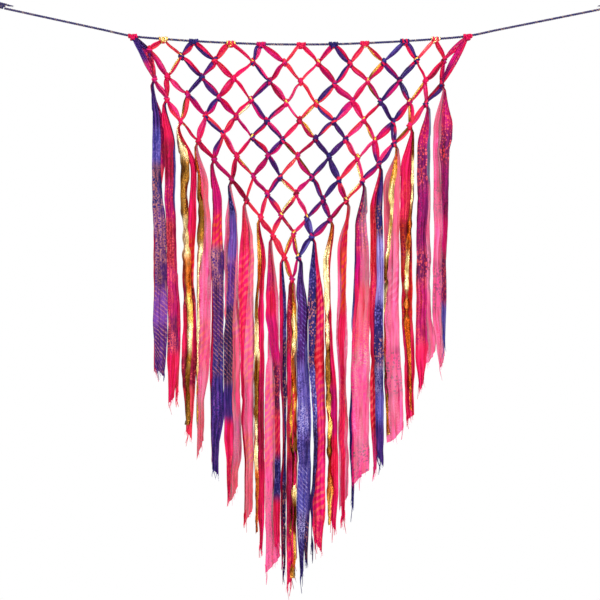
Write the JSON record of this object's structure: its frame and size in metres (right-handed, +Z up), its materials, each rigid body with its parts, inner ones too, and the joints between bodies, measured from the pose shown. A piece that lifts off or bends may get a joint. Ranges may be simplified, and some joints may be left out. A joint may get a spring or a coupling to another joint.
{
  "type": "macrame wall hanging",
  "caption": "Macrame wall hanging: a triangular diamond net of knotted silk ribbons on a twisted cord with end loops, and a long ribbon fringe along its slanted edges.",
  "frame": {"origin": "centre of the left hanging loop, where a hook or nail holds it", "axes": "+X towards the right hanging loop, +Y away from the viewer, towards the wall, +Z up"},
  "size_m": [1.1564, 0.0144, 1.0609],
  "materials": {
    "navy_cord": "matte",
    "crimson_silk": "satin",
    "pink_silk": "satin",
    "magenta_silk": "satin",
    "orange_silk": "satin",
    "purple_silk": "satin",
    "navy_silk": "satin",
    "pale_pink_chiffon": "satin",
    "gold_ribbon": "gloss"
  },
  "bodies": {
    "root": {"left_hanging_loop": "navy_cord", "right_hanging_loop": "navy_cord", "left_loop_knot": "navy_cord", "right_loop_knot": "navy_cord"},
    "net": {"hanging_cord": "navy_cord", "header_knots": "crimson_silk", "net_knots": "pink_silk", "left_edge_knots": "magenta_silk", "right_edge_knots": "crimson_silk", "tip_knot": "crimson_silk", "left_strand_1": "gold_ribbon", "left_strand_2": "pink_silk", "left_strand_3": "navy_silk", "left_strand_4": "crimson_silk", "left_strand_5": "orange_silk", "left_strand_6": "purple_silk", "left_strand_7": "gold_ribbon", "left_strand_8": "pink_silk", "left_strand_9": "navy_silk", "left_strand_10": "crimson_silk", "left_strand_11": "orange_silk", "right_strand_1": "purple_silk", "right_strand_2": "gold_ribbon", "right_strand_3": "pink_silk", "right_strand_4": "navy_silk", "right_strand_5": "crimson_silk", "right_strand_6": "orange_silk", "right_strand_7": "purple_silk", "right_strand_8": "gold_ribbon", "right_strand_9": "pink_silk", "right_strand_10": "navy_silk", "right_strand_11": "crimson_silk"},
    "left_fringe_1": {"left_fringe_1": "magenta_silk"},
    "left_fringe_2": {"left_fringe_2": "crimson_silk"},
    "left_fringe_3": {"left_fringe_3": "gold_ribbon"},
    "left_fringe_4": {"left_fringe_4": "pale_pink_chiffon"},
    "left_fringe_5": {"left_fringe_5": "magenta_silk"},
    "left_fringe_6": {"left_fringe_6": "pink_silk"},
    "left_fringe_7": {"left_fringe_7": "pale_pink_chiffon"},
    "left_fringe_8": {"left_fringe_8": "crimson_silk"},
    "left_fringe_9": {"left_fringe_9": "pale_pink_chiffon"},
    "left_fringe_10": {"left_fringe_10": "pink_silk"},
    "tip_fringe": {"tip_fringe": "crimson_silk"},
    "right_fringe_10": {"right_fringe_10": "purple_silk"},
    "right_fringe_9": {"right_fringe_9": "navy_silk"},
    "right_fringe_8": {"right_fringe_8": "orange_silk"},
    "right_fringe_7": {"right_fringe_7": "orange_silk"},
    "right_fringe_6": {"right_fringe_6": "magenta_silk"},
    "right_fringe_5": {"right_fringe_5": "crimson_silk"},
    "right_fringe_4": {"right_fringe_4": "pale_pink_chiffon"},
    "right_fringe_3": {"right_fringe_3": "orange_silk"},
    "right_fringe_2": {"right_fringe_2": "magenta_silk"},
    "right_fringe_1": {"right_fringe_1": "purple_silk"}
  },
  "joints": [
    {"name": "net_swing", "type": "hinge", "parent": "root", "child": "net", "pos_m": [0, 0, 0], "axis": [1, 0, 0], "range_deg": [-60, 60]},
    {"name": "left_fringe_1_swing", "type": "hinge", "parent": "net", "child": "left_fringe_1", "pos_m": [0.29427, 0, -0.1323], "axis": [1, 0, 0], "range_deg": [-60, 60]},
    {"name": "left_fringe_2_swing", "type": "hinge", "parent": "net", "child": "left_fringe_2", "pos_m": [0.32138, 0, -0.1682], "axis": [1, 0, 0], "range_deg": [-60, 60]},
    {"name": "left_fringe_3_swing", "type": "hinge", "parent": "net", "child": "left_fringe_3", "pos_m": [0.34832, 0, -0.20892], "axis": [1, 0, 0], "range_deg": [-60, 60]},
    {"name": "left_fringe_4_swing", "type": "hinge", "parent": "net", "child": "left_fringe_4", "pos_m": [0.37942, 0, -0.24356], "axis": [1, 0, 0], "range_deg": [-60, 60]},
    {"name": "left_fringe_5_swing", "type": "hinge", "parent": "net", "child": "left_fringe_5", "pos_m": [0.40889, 0, -0.27621], "axis": [1, 0, 0], "range_deg": [-60, 60]},
    {"name": "left_fringe_6_swing", "type": "hinge", "parent": "net", "child": "left_fringe_6", "pos_m": [0.43571, 0, -0.31394], "axis": [1, 0, 0], "range_deg": [-60, 60]},
    {"name": "left_fringe_7_swing", "type": "hinge", "parent": "net", "child": "left_fringe_7", "pos_m": [0.46515, 0, -0.35023], "axis": [1, 0, 0], "range_deg": [-60, 60]},
    {"name": "left_fringe_8_swing", "type": "hinge", "parent": "net", "child": "left_fringe_8", "pos_m": [0.48654, 0, -0.3811], "axis": [1, 0, 0], "range_deg": [-60, 60]},
    {"name": "left_fringe_9_swing", "type": "hinge", "parent": "net", "child": "left_fringe_9", "pos_m": [0.51441, 0, -0.41468], "axis": [1, 0, 0], "range_deg": [-60, 60]},
    {"name": "left_fringe_10_swing", "type": "hinge", "parent": "net", "child": "left_fringe_10", "pos_m": [0.53018, 0, -0.4526], "axis": [1, 0, 0], "range_deg": [-60, 60]},
    {"name": "tip_fringe_swing", "type": "hinge", "parent": "net", "child": "tip_fringe", "pos_m": [0.54048, 0, -0.492], "axis": [1, 0, 0], "range_deg": [-60, 60]},
    {"name": "right_fringe_10_swing", "type": "hinge", "parent": "net", "child": "right_fringe_10", "pos_m": [0.55018, 0, -0.4526], "axis": [1, 0, 0], "range_deg": [-60, 60]},
    {"name": "right_fringe_9_swing", "type": "hinge", "parent": "net", "child": "right_fringe_9", "pos_m": [0.57849, 0, -0.41619], "axis": [1, 0, 0], "range_deg": [-60, 60]},
    {"name": "right_fringe_8_swing", "type": "hinge", "parent": "net", "child": "right_fringe_8", "pos_m": [0.6089, 0, -0.38485], "axis": [1, 0, 0], "range_deg": [-60, 60]},
    {"name": "right_fringe_7_swing", "type": "hinge", "parent": "net", "child": "right_fringe_7", "pos_m": [0.63323, 0, -0.35112], "axis": [1, 0, 0], "range_deg": [-60, 60]},
    {"name": "right_fringe_6_swing", "type": "hinge", "parent": "net", "child": "right_fringe_6", "pos_m": [0.66254, 0, -0.317], "axis": [1, 0, 0], "range_deg": [-60, 60]},
    {"name": "right_fringe_5_swing", "type": "hinge", "parent": "net", "child": "right_fringe_5", "pos_m": [0.69816, 0, -0.28549], "axis": [1, 0, 0], "range_deg": [-60, 60]},
    {"name": "right_fringe_4_swing", "type": "hinge", "parent": "net", "child": "right_fringe_4", "pos_m": [0.72757, 0, -0.24773], "axis": [1, 0, 0], "range_deg": [-60, 60]},
    {"name": "right_fringe_3_swing", "type": "hinge", "parent": "net", "child": "right_fringe_3", "pos_m": [0.75563, 0, -0.21698], "axis": [1, 0, 0], "range_deg": [-60, 60]},
    {"name": "right_fringe_2_swing", "type": "hinge", "parent": "net", "child": "right_fringe_2", "pos_m": [0.79028, 0, -0.17644], "axis": [1, 0, 0], "range_deg": [-60, 60]},
    {"name": "right_fringe_1_swing", "type": "hinge", "parent": "net", "child": "right_fringe_1", "pos_m": [0.81581, 0, -0.14163], "axis": [1, 0, 0], "range_deg": [-60, 60]}
  ]
}
